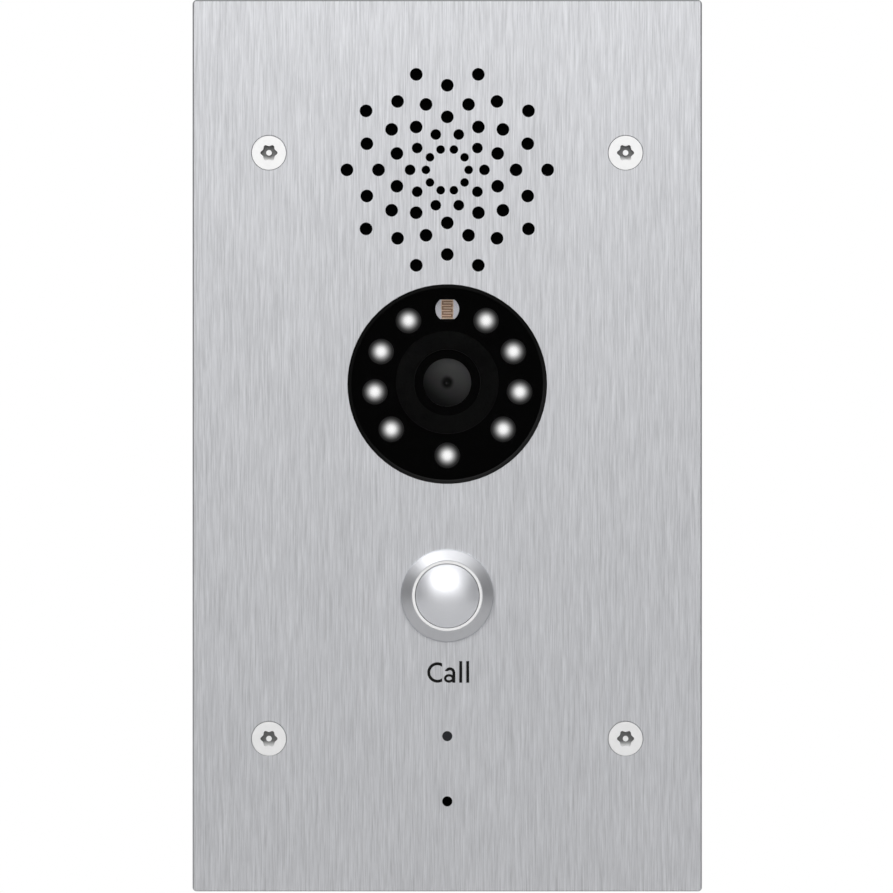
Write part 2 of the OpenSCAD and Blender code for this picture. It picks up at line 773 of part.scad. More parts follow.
module light_sensor() color("lavender") wall_frame() at_light_sensor() {
    translate([0, 0, sensor_front - sensor_t]) linear_extrude(sensor_t) sensor_body();
    for (x = [-1.2, 1.2]) translate([x, 0, 0]) disc(0.25, holder_back, sensor_front - sensor_t);
}

// The resistive track zigzags down the middle of the sensor's face
module light_sensor_track() color("peru") wall_frame() at_light_sensor() {
    rows = 7;
    track_w = 2.1;
    row_h = (sensor_h - 0.3) / rows;
    translate([0, 0, sensor_front]) linear_extrude(0.08) for (i = [0:rows - 1]) {
        y = (i - (rows - 1) / 2) * row_h;
        translate([0, y]) square([track_w, 0.6 * row_h], center = true);
        if (i < rows - 1) {
            side = i % 2 == 0 ? 1 : -1;
            translate([side * (track_w / 2 - 0.15), y + row_h / 2]) square([0.3, row_h], center = true);
        }
    }
}

module light_shield() color("gray") wall_frame() at_optics() {
    ring(shield_r, lens_head_r + 0.25, holder_back, window_back - 0.02);
}

// ---------------------------------------------------------------- lens and camera board

module lens_barrel() color("black") wall_frame() at_optics() difference() {
    union() {
        disc(lens_head_r, lens_head_back, lens_front);
        disc(lens_thread_r, lens_back, lens_head_back + 0.01);
    }
    cone(front_lens_r + fit, lens_head_r - 0.35, lens_front - 0.8, lens_front + 0.001);
    disc(front_lens_r + fit, lens_front - 2.4, lens_front);
    disc(3, lens_back - cut, lens_front);
    disc(4.3, lens_back - cut, lens_back + 3);
}

// A front lens, an inner lens and a rear lens: each a sphere's cap on a short cylinder
module lens_cap(r, rise, z0, z1) intersection() {
    ball = (r * r + rise * rise) / (2 * rise);
    translate([0, 0, z1 - ball]) sphere(ball);
    disc(r, z0, z1 + cut);
}

module lens_glass() color("slategray", 0.7) wall_frame() at_optics() {
    lens_cap(front_lens_r, 1.2, lens_front - 2.3, lens_front - 0.1);
    lens_cap(2.9, 0.5, lens_front - 6, lens_front - 4);
    lens_cap(4.2, 0.8, lens_back + 0.4, lens_back + 2.8);
}

module lens_mount() color("black") wall_frame() at_optics() difference() {
    union() {
        disc(mount_r, camera_board_front, mount_front);
        slab(mount_w, mount_w, camera_board_front, camera_board_front + 3);
    }
    disc(lens_thread_r + snug, camera_board_front + 2, mount_front + cut);
    slab(sensor_chip_w + 1, sensor_chip_w + 1, camera_board_front - cut, camera_board_front + 2.5);
}

module image_sensor() color("darkslateblue") wall_frame() at_optics() {
    slab(sensor_chip_w, sensor_chip_w, camera_board_front, camera_board_front + sensor_chip_t);
}

module camera_board() color("green") wall_frame() difference() {
    at_optics() slab(camera_board_w, camera_board_w, camera_board_back, camera_board_front);
    at_camera_posts() disc(m2_r + fit, camera_board_back - cut, camera_board_front + cut);
}

module camera_board_screws() color("silver") wall_frame() at_camera_posts() {
    translate([0, 0, camera_board_back]) mirror([0, 0, 1]) pan_screw(m2_r, 1.9, 1.3, 5);
}

// The flat cable leaves the camera board's lower edge and folds down on to the main board
module camera_ribbon() color("goldenrod") wall_frame() {
    t = 0.3;
    top = optics_y - camera_board_w / 2 + 3;
    low = top - 9;
    z1 = camera_board_back;
    z0 = main_board_front + 0.9;
    drop = z1 - z0 - t;
    slant = t * (sqrt(2) - 1);
    translate([-6, 0, 0]) rotate([90, 0, 90]) linear_extrude(12) polygon([
        [top, z1], [low + drop, z1], [low, z0 + t], [low - 3, z0 + t],
        [low - 3, z0], [low + slant, z0], [low + slant + drop, z1 - t], [top, z1 - t]
    ]);
}

module module_screws() color("silver") wall_frame() {
    at_speaker_ears() module_screw();
    at_camera_ears() module_screw();
}

module module_screw() translate([0, 0, ear_back]) mirror([0, 0, 1]) {
    pan_screw(m3_r, m3_head_r, m3_head_t, module_screw_len);
}

// ---------------------------------------------------------------- call button

module button_bezel() color("silver") wall_frame() at_button() difference() {
    rotate_extrude() polygon([
        [0, barrel_back], [button_r, barrel_back], [button_r, plate_front],
        [bezel_r - 0.05, plate_front], [bezel_r, plate_front + 0.1],
        [bezel_r, plate_front + bezel_rim], [bezel_r - 0.2, plate_front + bezel_rim + 0.3],
        [bezel_bore_r + 0.1, bezel_top], [0, bezel_top]
    ]);
    disc(bezel_bore_r, ledge_z, bezel_top + cut);
    disc(spring_pocket_r, bush_front, ledge_z + cut);
    disc(stem_r + fit, bush_back - cut, bush_front + cut);
    disc(button_r - 1.6, barrel_back - cut, bush_back);
    ring(o_ring_at + o_ring_r + 0.08, button_r, plate_front - cut, plate_front + 2 * o_ring_r + 0.02);
}

module button_o_ring() color("black") wall_frame() at_button() rotate_extrude() {
    translate([o_ring_at, plate_front + o_ring_r]) circle(o_ring_r);
}

module button_nut() color("gainsboro") wall_frame() at_button() difference() {
    translate([0, 0, plate_back - nut_t]) cylinder(h = nut_t, d = nut_af / cos(30), $fn = 6);
    disc(button_r + snug, plate_back - nut_t - cut, plate_back + cut);
}

module button_light_ring() color("white") wall_frame() at_button() {
    ring(light_ring_r, cap_hole_r, ledge_z, bezel_top + 0.05);
}

module button_cap() color("silver") wall_frame() at_button() {
    ball = (cap_r * cap_r + dome_rise * dome_rise) / (2 * dome_rise);
    difference() {
        union() {
            disc(cap_r, cap_back, cap_edge);
            intersection() {
                translate([0, 0, cap_edge + dome_rise - ball]) sphere(ball, $fn = 128);
                disc(cap_r, cap_edge - 0.01, cap_edge + dome_rise + cut);
            }
        }
        disc(cap_r - 1.2, cap_back - cut, cap_back + 1.6);
    }
}

module button_plunger() color("dimgray") wall_frame() at_button() difference() {
    union() {
        disc(cap_r - 1.2 - fit, cap_back + 0.4, cap_back + 1.6);
        disc(stem_r, contact_front - contact_t - 0.4, cap_back + 1);
    }
    ring(stem_r + cut, stem_r - 0.5, bush_back - clip_t - 0.1, bush_back - 0.02);
}

module button_clip() color("lightgray") wall_frame() at_button() difference() {
    disc(clip_r, bush_back - clip_t - 0.05, bush_back - 0.05);
    disc(stem_r - 0.48, bush_back - cut - clip_t, bush_back + cut);
    translate([-1.2, -clip_r - cut, bush_back - cut - clip_t]) cube([2.4, clip_r + cut, clip_t + 2 * cut]);
}

module button_contact() color("gold") wall_frame() at_button() difference() {
    union() {
        slab(2 * terminal_at, 3, contact_front - contact_t, contact_front);
        disc(stem_r + 1, contact_front - contact_t, contact_front);
    }
    disc(stem_r + 0.02, contact_front - contact_t - cut, contact_front + cut);
}

module button_spring() color("gray") wall_frame() at_button() {
    coil_spring(stem_r + 1.1, 0.25, bush_front + 0.05, cap_back + 0.35, 4);
}

module button_base() color("black") wall_frame() at_button() difference() {
    disc(button_r - 0.2, base_back, barrel_back - 0.02);
    disc(button_r - 1.6, base_back + 1.5, barrel_back + cut);
    for (side = [-1, 1]) {
        translate([side * terminal_at, 0, 0]) slab(1.1, 3.1, base_back - cut, base_back + 2 + cut);
        translate([0, side * terminal_at, 0]) slab(3.1, 1.1, base_back - cut, base_back + 2 + cut);
    }
}

// Two blades carry the switch, and two carry the lamp under the light ring
module button_terminals() color("gold") wall_frame() at_button() {
    blade_top = contact_front - contact_t - button_travel - 0.1;
    for (x = [-terminal_at, terminal_at]) translate([x, 0, 0]) {
        slab(0.8, 2.8, terminal_back, blade_top - 0.5);
        translate([-sign(x) * 0.8, 0, 0]) slab(2.4, 2.8, blade_top - 0.5, blade_top);
    }
    for (y = [-terminal_at, terminal_at]) translate([0, y, 0]) {
        slab(2.8, 0.8, terminal_back, base_back + 2.6);
    }
}

// ---------------------------------------------------------------- status light and microphone

module status_light_pipe() color("dimgray") wall_frame() at_status() {
    disc(pinhole_d / 2 - 0.03, plate_back - 0.1, plate_front - 0.05);
    disc(pinhole_d / 2 + 1.5, plate_back - 1.1, plate_back);
    disc(pinhole_d / 2 + 0.5, main_board_front + 1.5, plate_back - 1);
}

module microphone() color("silver") wall_frame() at_mic() {
    disc(2.95, plate_back - 6.5, plate_back - 3.5);
    for (x = [-1.3, 1.3]) translate([x, 0, 0]) disc(0.3, plate_back - 8, plate_back - 6.45);
}

module microphone_boot() color("black") wall_frame() at_mic() difference() {
    disc(5, plate_back - 7, plate_back);
    disc(pinhole_d / 2, plate_back - 4, plate_back + cut);
    disc(3, plate_back - 7 - cut, plate_back - 3.45);
}

// ---------------------------------------------------------------- main board

module board_outline() union() {
    square([board_narrow_w, board_h], center = true);
    square([board_wide_w, board_wide_h], center = true);
}

module main_board() color("darkgreen") wall_frame() difference() {
    translate([0, 0, main_board_back]) linear_extrude(main_board_t) board_outline();
    at_board_posts() disc(m25_r + fit, main_board_back - cut, main_board_front + cut);
}

module on_board(x, y, w, h, t) translate([x, y, 0]) {
    slab(w, h, main_board_front, main_board_front + t);
}

module board_components() color("dimgray") wall_frame() {
    on_board(0, status_y, 1.6, 3.2, 1.1);
    on_board(-15, button_y - 13, 9, 12.7, 5.5);
    on_board(12, button_y - 17, 7, 7, 1);
    on_board(-4, button_y - 15, 6, 5, 1.2);
    on_board(10, speaker_y - 20.5, 9, 9, 1.2);
    on_board(-8, speaker_y - 24, 6, 5, 1);
    on_board(0, optics_y - camera_board_w / 2 - 8.5, 14, 4.2, 0.85);
    for (y = [-12, -22]) translate([20, button_y + y, 0]) disc(4, main_board_front, main_board_front + 9);
    // wire headers
    on_board(-21.2, speaker_y - 25.5, 6.5, 5.5, header_t);
    on_board(20.9, button_y + 15, 6.5, 5.5, header_t);
    on_board(-13.9, mic_y + 10.5, 6.5, 5.5, header_t);
}

module shield_can() color("silver") wall_frame() difference() {
    on_board(0, speaker_y + 1, 34, 22, 2.6);
    translate([0, speaker_y + 1, 0]) slab(33.4, 21.4, main_board_front - cut, main_board_front + 2.3);
}

module board_screws() color("silver") wall_frame() at_board_posts() {
    translate([0, 0, main_board_front]) pan_screw(m25_r, 2.3, 1.5, 6.5);
}

// ---------------------------------------------------------------- connectors

module network_jack() color("gray") wall_frame() difference() {
    bottom = jack_top - jack_len;
    translate([jack_x, (jack_top + bottom) / 2, 0]) {
        slab(jack_w, jack_len, main_board_back - jack_h, main_board_back);
    }
    translate([jack_x - port_w / 2, bottom - cut, port_front - port_h]) {
        cube([port_w, port_len + cut, port_h]);
    }
    // latch slot at the back of the port
    translate([jack_x - 3.2, bottom - cut, port_front - port_h - 1.6]) {
        cube([6.4, port_len + cut, 1.7]);
    }
}

module network_jack_contacts() color("gold") wall_frame() for (i = [0:7]) {
    bottom = jack_top - jack_len;
    translate([jack_x + (i - 3.5) * 1.02 - 0.18, 0, 0]) rotate([90, 0, 90]) linear_extrude(0.36) {
        polygon([
            [bottom + 2, port_front], [bottom + 2, port_front - 0.35],
            [bottom + port_len - 1.5, port_front - 1.8], [bottom + port_len, port_front - 1.5],
            [bottom + port_len, port_front - 1.2], [bottom + port_len - 1.5, port_front - 1.4],
            [bottom + 3.5, port_front]
        ]);
    }
}

module at_ways() for (i = [0:ways - 1]) {
    translate([block_x + (i - (ways - 1) / 2) * way_pitch, 0, 0]) children();
}

module terminal_block() color("seagreen") wall_frame() difference() {
    mid = block_top - block_len / 2;
    translate([block_x, mid, 0]) slab(block_w, block_len, main_board_back - block_h, main_board_back);
    // a step along the screw side, and a wire hole and a screw well for each way
    translate([block_x, block_top, 0]) {
        slab(block_w + cut, 2.4, main_board_back - block_h - cut, main_board_back - block_h + 2.5);
    }
    at_ways() {
        translate([0, mid, 0]) disc(1.35, main_board_back - block_h - cut, main_board_back - 3);
        translate([0, block_top - block_len + 2, main_board_back - 4.6]) cube([2.5, 6, 2.8], center = true);
    }
}

module terminal_screws() color("silver") wall_frame() at_ways() {
    seat = main_board_back - block_h + 2.6;
    translate([0, block_top - block_len / 2, 0]) difference() {
        disc(1.3, seat - 1.8, seat + 3);
        slab(3, 0.5, seat - 1.8 - cut, seat - 1.2);
    }
}

// ---------------------------------------------------------------- rear cover

module cover_outline(inset) difference() {
    rounded_rect(cover_w - 2 * inset, cover_h - 2 * inset, cover_corner_r - 0.9 * inset);
    slot_r = boss_slot_r + inset;
    for (x = [-1, 1], y = [-1, 1]) translate([x * fixing_x, y * fixing_y]) {
        circle(slot_r);
        translate([x * panel_w / 4, 0]) square([panel_w / 2, 2 * slot_r], center = true);
    }
}

module bay_block(margin, z0, z1, below) {
    w = bay_w + 2 * margin;
    translate([-w / 2, -cover_h / 2 - below, z0]) cube([w, bay_h + margin + below, z1 - z0]);
}

module cover_shell() difference() {
    translate([0, 0, cover_back]) linear_extrude(cover_front - cover_back) cover_outline(0);
    translate([0, 0, cover_floor]) linear_extrude(cover_front - cover_floor + cut) {
        cover_outline(cover_wall);
    }
}

module rear_cover() color("darkslategray") wall_frame() difference() {
    union() {
        cover_shell();
        at_pillars() disc(pillar_r, cover_back + 0.5, pillar_front);
        at_board_posts() disc(board_post_r, cover_floor - 0.5, main_board_back);
        at_tamper() disc(tamper_well_r + 1.5, cover_floor - 0.5, main_board_back - 1);
        bay_block(bay_wall, cover_back + 0.5, bay_floor, -0.5);
    }
    bay_block(0, cover_back - cut, bay_floor - bay_floor_t, cut);
    // windows for the connectors in the bay's floor
    translate([jack_x, jack_top - jack_len / 2, 0]) {
        slab(jack_w + 2 * fit, jack_len + 2 * fit, bay_floor - bay_floor_t - cut, bay_floor + cut);
    }
    translate([block_x, block_top - block_len / 2, 0]) {
        slab(block_w + 2 * fit, block_len + 2 * fit, bay_floor - bay_floor_t - cut, bay_floor + cut);
    }
    at_pillars() {
        disc(m3_r + 0.2, cover_back - cut, pillar_front + cut);
        disc(counterbore_r, cover_back - cut, screw_seat);
    }
    at_board_posts() disc(m25_r + snug, main_board_back - 7, main_board_back + cut);
    at_tamper() {
        disc(tamper_well_r, cover_floor, main_board_back + cut);
        disc(tamper_stem_r + fit, cover_back - cut, cover_floor + cut);
    }
    translate([0, rating_y, 0]) slab(rating_w, rating_h, cover_back - cut, cover_back + rating_recess);
}

module cover_seal() color("dimgray") wall_frame() {
    translate([0, 0, cover_front]) linear_extrude(cover_seal_t) difference() {
        cover_outline(0.3);
        cover_outline(cover_wall - 0.3);
    }
}

module cover_screws() color("silver") wall_frame() at_pillars() {
    translate([0, 0, screw_seat]) mirror([0, 0, 1]) pan_screw(m3_r, m3_head_r, m3_head_t, cover_screw_len);
}

module rating_label() color("white") wall_frame() {
    z = cover_back + rating_recess;
    translate([0, rating_y, z - rating_t]) linear_extrude(rating_t) {
        rounded_rect(rating_w - 1, rating_h - 1, 1.5);
    }
}

// ---------------------------------------------------------------- tamper switch

module tamper_plunger() color("black") wall_frame() at_tamper() union() {
    disc(tamper_stem_r, cover_back - tamper_proud + 0.6, tamper_flange_back + 0.1);
    cone(tamper_stem_r - 0.6, tamper_stem_r, cover_back - tamper_proud, cover_back - tamper_proud + 0.6);
    disc(tamper_flange_r, tamper_flange_back, tamper_flange_back + tamper_flange_t);
    disc(1.6, tamper_flange_back, tamper_nose);
}

module tamper_spring() color("gray") wall_frame() at_tamper() {
    coil_spring(5, 0.3, tamper_flange_back + tamper_flange_t + 0.05, main_board_back - 0.05, 4);
}

module tamper_switch() color("dimgray") wall_frame() at_tamper() {
    slab(switch_w, switch_w, main_board_back - switch_t, main_board_back);
    disc(1.75, main_board_back - switch_t - switch_button_t, main_board_back - switch_t + 0.01);
}

// ---------------------------------------------------------------- leads

module internal_leads() color("firebrick") wall_frame() for (route = lead_routes) {
    swept_wire(smooth_route(route, 4), lead_r, 8, [0.3, 1, 0.2]);
}

front_plate();
plate_standoffs();
wall_gasket();
fixing_screws();
captive_washers();
call_label();
speaker_cloth();
speaker_gasket();
speaker_housing();
speaker_frame();
speaker_diaphragm();
speaker_magnet();
speaker_yoke();
camera_window();
window_seal();
camera_housing();
led_holder();
illumination_leds();
led_board();
light_sensor();
light_sensor_track();
light_shield();
lens_barrel();
lens_glass();
lens_mount();
image_sensor();
camera_board();
camera_board_screws();
camera_ribbon();
module_screws();
button_bezel();
button_o_ring();
button_nut();
button_light_ring();
button_cap();
button_plunger();
button_clip();
button_contact();
button_spring();
button_base();
button_terminals();
status_light_pipe();
microphone();
microphone_boot();
main_board();
board_components();
shield_can();
board_screws();
network_jack();
network_jack_contacts();
terminal_block();
terminal_screws();
rear_cover();
cover_seal();
cover_screws();
rating_label();
tamper_plunger();
tamper_spring();
tamper_switch();
internal_leads();
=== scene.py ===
"""Looks of the door intercom panel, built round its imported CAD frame."""

import json
import math

import bmesh
import bpy
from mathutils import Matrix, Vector


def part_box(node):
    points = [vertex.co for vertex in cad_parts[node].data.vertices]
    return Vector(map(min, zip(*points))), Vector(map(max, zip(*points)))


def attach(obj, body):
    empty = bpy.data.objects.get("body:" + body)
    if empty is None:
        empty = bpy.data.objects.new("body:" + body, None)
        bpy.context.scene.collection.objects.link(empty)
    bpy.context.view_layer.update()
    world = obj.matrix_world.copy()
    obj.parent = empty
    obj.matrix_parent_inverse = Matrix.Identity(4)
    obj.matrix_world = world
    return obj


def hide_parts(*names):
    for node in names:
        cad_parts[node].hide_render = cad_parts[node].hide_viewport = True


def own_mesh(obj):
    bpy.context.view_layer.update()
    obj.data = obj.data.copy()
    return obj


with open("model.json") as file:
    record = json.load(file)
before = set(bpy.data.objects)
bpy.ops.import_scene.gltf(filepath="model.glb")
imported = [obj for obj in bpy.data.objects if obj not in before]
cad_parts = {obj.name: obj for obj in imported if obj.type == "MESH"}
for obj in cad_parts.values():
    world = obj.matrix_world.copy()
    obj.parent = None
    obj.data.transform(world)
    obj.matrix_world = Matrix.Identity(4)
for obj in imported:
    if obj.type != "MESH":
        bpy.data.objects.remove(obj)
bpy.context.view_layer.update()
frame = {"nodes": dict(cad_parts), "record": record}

MM = 0.001
NODES = frame["nodes"]
SCENE = bpy.context.scene
SCENE.view_settings.view_transform = "Standard"
SCENE.view_settings.look = "None"


# ------------------------------------------------------------------ places, from the frame

def middle(node):
    low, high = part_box(node)
    return (low + high) / 2


PLATE_LOW, PLATE_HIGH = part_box("front_plate")
PLATE_FRONT = PLATE_LOW.y
PLATE_H = PLATE_HIGH.z - PLATE_LOW.z
SCREW_HEAD_R = 3.35 * MM
SCREW_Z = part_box("fixing_screws")[1].z - SCREW_HEAD_R
LENS_AXIS = middle("lens_barrel")
BUTTON_AXIS = middle("button_cap")

# The window's flange is wider than the part that shows, and its top is cut off.
WINDOW_LOW, WINDOW_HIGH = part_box("camera_window")
WINDOW_FLANGE_R = (WINDOW_HIGH.x - WINDOW_LOW.x) / 2
WINDOW_AXIS = Vector((0, WINDOW_LOW.y, WINDOW_LOW.z + WINDOW_FLANGE_R))
WINDOW_R = 19.5 * MM
BORDER_W = 0.7 * MM


# ------------------------------------------------------------------ camera

VIEW_SIZE = 1.0015 * PLATE_H
VIEW_SHIFT = Vector((-0.15 * MM, 0, -0.15 * MM))
LENS_MM = 200
SENSOR_MM = 36
CLIP_END = 50


def make_camera():
    """A long lens square to the plate, which fills the height of the picture."""
    data = bpy.data.cameras.new("camera")
    data.lens = LENS_MM
    data.sensor_width = SENSOR_MM
    data.clip_end = CLIP_END
    camera = bpy.data.objects.new("camera", data)
    distance = VIEW_SIZE * LENS_MM / SENSOR_MM
    camera.location = Vector((0, PLATE_FRONT - distance, 0)) + VIEW_SHIFT
    camera.rotation_euler = (math.radians(90), 0, 0)
    SCENE.collection.objects.link(camera)
    SCENE.camera = camera


# ------------------------------------------------------------------ node helpers

MIX_FIRST, MIX_SECOND, MIX_RESULT = 6, 7, 2  # the colour sockets of a Mix node


class Graph:
    """A short way to write a node tree: values may be numbers, tuples or other nodes' sockets."""

    def __init__(self, tree):
        self.tree = tree
        tree.nodes.clear()

    def put(self, socket, value):
        if isinstance(value, bpy.types.NodeSocket):
            self.tree.links.new(value, socket)
        else:
            socket.default_value = value

    def node(self, kind, inputs=None, **settings):
        made = self.tree.nodes.new("ShaderNode" + kind)
        for key, value in settings.items():
            setattr(made, key, value)
        for key, value in (inputs or {}).items():
            self.put(made.inputs[key], value)
        return made

    def maths(self, operation, *values):
        return self.node("Math", dict(enumerate(values)), operation=operation).outputs[0]

    def coordinates(self, scale=(1, 1, 1), offset=(0, 0, 0)):
        place = self.node("TexCoord").outputs["Object"]
        mapping = self.node("Mapping", {"Vector": place, "Scale": scale, "Location": offset})
        return mapping.outputs[0]

    def xyz(self, centre=(0, 0, 0), per_m=1):
        """The place's x, y and z from centre, in metres, or in steps of which per_m make a metre."""
        offset = tuple(0 - c for c in centre)
        split = self.node("SeparateXYZ", {0: self.coordinates((per_m,) * 3, offset)})
        return [split.outputs[name] for name in "XYZ"]

    def radius(self, centre, across="XZ"):
        """Distance from an axis through centre, in metres."""
        places = dict(zip("XYZ", self.xyz(centre)))
        squares = [self.maths("POWER", places[name], 2.0) for name in across]
        return self.maths("SQRT", self.maths("ADD", *squares))

    def noise(self, scale, detail=2.0, roughness=0.5, offset=(0, 0, 0)):
        """Noise of a size given per metre along each axis, or along all three."""
        sizes = scale if isinstance(scale, tuple) else (scale, scale, scale)
        place = self.coordinates(sizes, offset)
        inputs = {"Vector": place, "Scale": 1.0, "Detail": detail, "Roughness": roughness}
        return self.node("TexNoise", inputs).outputs["Fac"]

    def remap(self, value, low, high, to_low=0.0, to_high=1.0, smooth=False):
        kind = "SMOOTHSTEP" if smooth else "LINEAR"
        inputs = {0: value, 1: low, 2: high, 3: to_low, 4: to_high}
        return self.node("MapRange", inputs, interpolation_type=kind).outputs[0]

    def mix(self, factor, first, second):
        inputs = {0: factor, MIX_FIRST: first, MIX_SECOND: second}
        return self.node("Mix", inputs, data_type="RGBA").outputs[MIX_RESULT]

    def ramp(self, value, stops):
        made = self.node("ValToRGB", {"Fac": value})
        elements = made.color_ramp.elements
        while len(elements) < len(stops):
            elements.new(0.5)
        for element, (position, colour) in zip(elements, stops):
            element.position = position
            element.color = colour
        return made.outputs[0]

    def bump(self, height, distance, strength):
        inputs = {"Height": height, "Distance": distance, "Strength": strength}
        return self.node("Bump", inputs).outputs[0]


def grey(value, tint=(1.0, 1.0, 1.0)):
    return (value * tint[0], value * tint[1], value * tint[2], 1.0)


def material(name, build):
    """A material of one Principled shader, whose inputs build works out."""
    made = bpy.data.materials.new(name)
    made.use_nodes = True
    graph = Graph(made.node_tree)
    shader = graph.node("BsdfPrincipled")
    graph.node("OutputMaterial", {"Surface": shader.outputs[0]})
    for key, value in build(graph).items():
        graph.put(shader.inputs[key], value)
    return made


# ------------------------------------------------------------------ metal

STEEL_TINT = (0.955, 0.965, 1.0)


def brushed_plate(g):
    """Vertical satin brushing: short hairlines over broad, faint bands, with painted shade on the cut
    edges and along the top edge.
    """
    hair = g.noise((4800, 500, 150), detail=3.0, roughness=0.7)
    streak = g.noise((1700, 200, 70), roughness=0.55, offset=(3.1, 0, 7.7))
    band = g.noise((70, 30, 9), offset=(0.4, 0, 2.3))
    fine = g.maths("ADD", g.maths("MULTIPLY", hair, 0.7), g.maths("MULTIPLY", streak, 0.24))
    grain = g.maths("ADD", fine, g.maths("MULTIPLY", band, 0.06))
    face = g.mix(g.remap(grain, 0.34, 0.66), grey(0.64, STEEL_TINT), grey(0.96, STEEL_TINT))
    _, y, z = g.xyz()
    # Painted shade: the cut edges behind the face (the sides and the walls of the holes) and a thin
    # line along the top edge are dark.
    behind_face = g.remap(y, PLATE_FRONT + 0.32 * MM, PLATE_FRONT + 0.5 * MM)
    at_top = g.remap(z, PLATE_HIGH.z - 0.3 * MM, PLATE_HIGH.z - 0.2 * MM)
    painted_edge_shade = g.maths("MAXIMUM", behind_face, at_top)
    return {
        "Base Color": g.mix(painted_edge_shade, face, grey(0.16, STEEL_TINT)),
        "Metallic": 1.0,
        "Roughness": g.remap(grain, 0.35, 0.65, 0.46, 0.36),
        "Anisotropic": 0.55,
        "Tangent": g.node("CombineXYZ", {0: 1.0}).outputs[0],
        "Normal": g.bump(grain, 0.02 * MM, 0.35),
    }


def screw_steel(g):
    """Bright zinc plate, with painted shade down in the sockets and a painted highlight on their lowest
    side.
    """
    socket_mouth, socket_shade = PLATE_FRONT + 0.3 * MM, PLATE_FRONT + 0.55 * MM
    shank_front, socket_end = 0.0, -0.2 * MM
    lit_side, dark_side = -1.3 * MM, -0.5 * MM
    tone = g.noise(1500, detail=3.0)
    _, y, z = g.xyz()
    # Where the painted socket shade lies: behind the sockets' mouths and in front of the shanks.
    painted_socket_mask = g.maths("MULTIPLY", g.remap(y, socket_mouth, socket_shade),
                     g.remap(y, shank_front, socket_end))
    height = g.maths("SUBTRACT", z, g.maths("MULTIPLY", g.maths("SIGN", z), SCREW_Z))
    # Painted highlight on the socket's lowest side, painted shade on the rest of it.
    socket = g.mix(g.remap(height, lit_side, dark_side), grey(0.8), grey(0.24))
    plated = g.mix(tone, grey(0.97), grey(1.0))
    return {
        "Base Color": g.mix(painted_socket_mask, plated, socket),
        "Metallic": 0.55,
        "Roughness": g.remap(tone, 0.3, 0.7, 0.34, 0.42),
        "Normal": g.bump(tone, 0.004 * MM, 0.4),
    }


def turned(centre, base, roughness, anisotropic=0.3, rings=5200, spread=0.07):
    """Lathe-turned metal: fine rings round an axis through centre."""
    dark = grey(base * (1 - spread), STEEL_TINT)
    bright = grey(min(1.0, base * (1 + spread)), STEEL_TINT)

    def build(g):
        outward = g.node("CombineXYZ", {0: g.radius(centre)}).outputs[0]
        ring_inputs = {"Vector": outward, "Scale": rings, "Detail": 2.0}
        ring = g.node("TexNoise", ring_inputs).outputs["Fac"]
        cloud = g.noise(900, detail=3.0)
        grain = g.maths("ADD", g.maths("MULTIPLY", ring, 0.6), g.maths("MULTIPLY", cloud, 0.4))
        return {
            "Base Color": g.mix(grain, dark, bright),
            "Metallic": 1.0,
            "Roughness": g.remap(grain, 0.3, 0.7, roughness + 0.05, roughness - 0.05),
            "Anisotropic": anisotropic,
            "Normal": g.bump(grain, 0.006 * MM, 0.4),
        }
    return build


def blasted(base, roughness, depth=0.01, metallic=1.0):
    """Plated, cast, bead-blasted or sintered stock, with faint handling marks."""
    def build(g):
        grain = g.noise(5200, detail=3.0)
        marks = g.noise(420, detail=4.0, roughness=0.65, offset=(1.7, 2.9, 0.6))
        clean, handled = grey(base, STEEL_TINT), grey(base * 0.84, STEEL_TINT)
        return {
            "Base Color": g.mix(g.remap(marks, 0.35, 0.7), clean, handled),
            "Metallic": metallic,
            "Roughness": g.remap(grain, 0.3, 0.7, roughness + 0.08, roughness - 0.06),
            "Normal": g.bump(grain, depth * MM, 0.5),
        }
    return build


def gold(g):
    """Gold-plated contacts."""
    tone = g.noise(3000, detail=3.0)
    return {
        "Base Color": g.mix(tone, (0.78, 0.55, 0.18, 1.0), (0.9, 0.68, 0.28, 1.0)),
        "Metallic": 1.0,
        "Roughness": g.remap(tone, 0.3, 0.7, 0.2, 0.34),
    }


def enamel(g):
    """Black paint with a fine grain."""
    tone = g.noise(2600, detail=3.0)
    return {
        "Base Color": g.mix(tone, grey(0.002), grey(0.005)),
        "Roughness": g.remap(tone, 0.3, 0.7, 0.45, 0.6),
        "Specular IOR Level": 0.15,
        "Normal": g.bump(tone, 0.01 * MM, 0.4),
    }


# ------------------------------------------------------------------ plastic, rubber, cloth and paper

def moulded(colour, roughness, scale=2600, depth=0.02, specular=0.5):
    """Moulded plastic or rubber: a spark-eroded grain, and a slow change of tone."""
    def build(g):
        grain = g.noise(scale, detail=3.0, roughness=0.6)
        cloud = g.noise(45, offset=(0.2, 0.9, 0.3))
        darker = tuple(0.82 * c for c in colour[:3]) + (1.0,)
        return {
            "Base Color": g.mix(g.remap(cloud, 0.3, 0.7), colour, darker),
            "Roughness": g.remap(grain, 0.3, 0.7, roughness + 0.1, roughness - 0.08),
            "Normal": g.bump(grain, depth * MM, 0.6),
            "Specular IOR Level": specular,
        }
    return build


CELLS_PER_M = 2400


def foam(value):
    """Open cells, darker in their middles."""
    def build(g):
        place = g.coordinates((CELLS_PER_M,) * 3)
        cells = g.node("TexVoronoi", {"Vector": place, "Scale": 1.0}).outputs["Distance"]
        return {
            "Base Color": g.mix(g.remap(cells, 0.0, 0.8), grey(value * 0.5), grey(value)),
            "Roughness": 0.95,
            "Specular IOR Level": 0.15,
            "Normal": g.bump(cells, 0.05 * MM, 0.8),
        }
    return build


THREADS_PER_M = 2600


